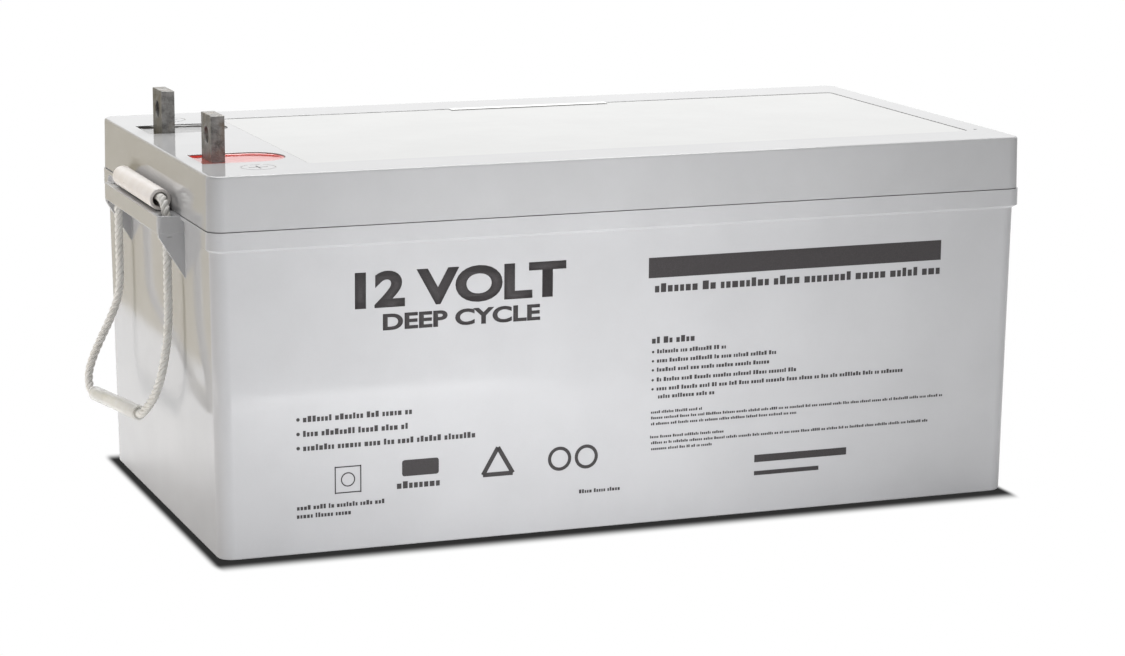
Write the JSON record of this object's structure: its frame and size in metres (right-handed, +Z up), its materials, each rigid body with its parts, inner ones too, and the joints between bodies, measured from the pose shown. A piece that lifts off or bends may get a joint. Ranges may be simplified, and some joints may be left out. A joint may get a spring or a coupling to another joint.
{
  "type": "deep cycle battery",
  "caption": "Large sealed deep cycle battery: glossy grey case with collar, flush valve cover plate, upright lead flag terminals in colour-coded wells, and rope handles on end ledges.",
  "frame": {"origin": "centre of the base, where the battery stands", "axes": "+X along the length, away from the terminals; -Y is the printed front; +Z up"},
  "size_m": [0.563, 0.271, 0.243],
  "materials": {
    "case_plastic": "moulded pale grey ABS, glossy",
    "cover_plastic": "moulded pale grey ABS, glossy",
    "plate_plastic": "moulded pale grey ABS, satin gloss",
    "terminal_lead": "worn, oxidised cast lead",
    "red_resin": "poured, glossy",
    "black_resin": "poured, glossy",
    "rope_fibre": "laid white synthetic rope",
    "grip_plastic": "extruded white polyethylene",
    "sleeve_plastic": "clear flexible vinyl tube",
    "valve_rubber": "moulded rubber",
    "positive_plate": "pasted lead dioxide plate",
    "negative_plate": "pasted sponge lead plate",
    "separator_sheet": "microporous sheet",
    "cast_lead": "cast lead"
  },
  "bodies": {
    "root": {"container": "case_plastic", "cover": "cover_plastic", "valve_cover_plate": "plate_plastic", "positive_terminal": "terminal_lead", "negative_terminal": "terminal_lead", "red_sealing_resin": "red_resin", "black_sealing_resin": "black_resin", "positive_post_oring": "valve_rubber", "negative_post_oring": "valve_rubber", "valve_cap_front_1": "valve_rubber", "valve_cap_front_2": "valve_rubber", "valve_cap_front_3": "valve_rubber", "valve_cap_rear_1": "valve_rubber", "valve_cap_rear_2": "valve_rubber", "valve_cap_rear_3": "valve_rubber", "positive_plates_front_1": "positive_plate", "positive_plates_front_2": "positive_plate", "positive_plates_front_3": "positive_plate", "positive_plates_rear_1": "positive_plate", "positive_plates_rear_2": "positive_plate", "positive_plates_rear_3": "positive_plate", "negative_plates_front_1": "negative_plate", "negative_plates_front_2": "negative_plate", "negative_plates_front_3": "negative_plate", "negative_plates_rear_1": "negative_plate", "negative_plates_rear_2": "negative_plate", "negative_plates_rear_3": "negative_plate", "separator_front_1": "separator_sheet", "separator_front_2": "separator_sheet", "separator_front_3": "separator_sheet", "separator_rear_1": "separator_sheet", "separator_rear_2": "separator_sheet", "separator_rear_3": "separator_sheet", "cell_connector_front_1_2": "cast_lead", "cell_connector_front_2_3": "cast_lead", "cell_connector_rear_1_2": "cast_lead", "cell_connector_rear_2_3": "cast_lead", "cell_connector_front_rear_3": "cast_lead"},
    "left_rope_handle": {"left_rope": "rope_fibre", "left_sleeve": "sleeve_plastic"},
    "left_grip_tube": {"left_grip": "grip_plastic"},
    "right_rope_handle": {"right_rope": "rope_fibre", "right_sleeve": "sleeve_plastic"},
    "right_grip_tube": {"right_grip": "grip_plastic"}
  },
  "joints": [
    {"name": "left_handle_lift", "type": "slide", "parent": "root", "child": "left_rope_handle", "axis": [0, 0, 1], "range_m": [0, 0.05]},
    {"name": "left_grip_spin", "type": "hinge", "parent": "left_rope_handle", "child": "left_grip_tube", "pos_m": [-0.2566, 0, 0.19335], "axis": [0, 1, 0], "continuous": true},
    {"name": "right_handle_lift", "type": "slide", "parent": "root", "child": "right_rope_handle", "axis": [0, 0, 1], "range_m": [0, 0.05]},
    {"name": "right_grip_spin", "type": "hinge", "parent": "right_rope_handle", "child": "right_grip_tube", "pos_m": [0.2566, 0, 0.19335], "axis": [0, -1, 0], "continuous": true}
  ]
}
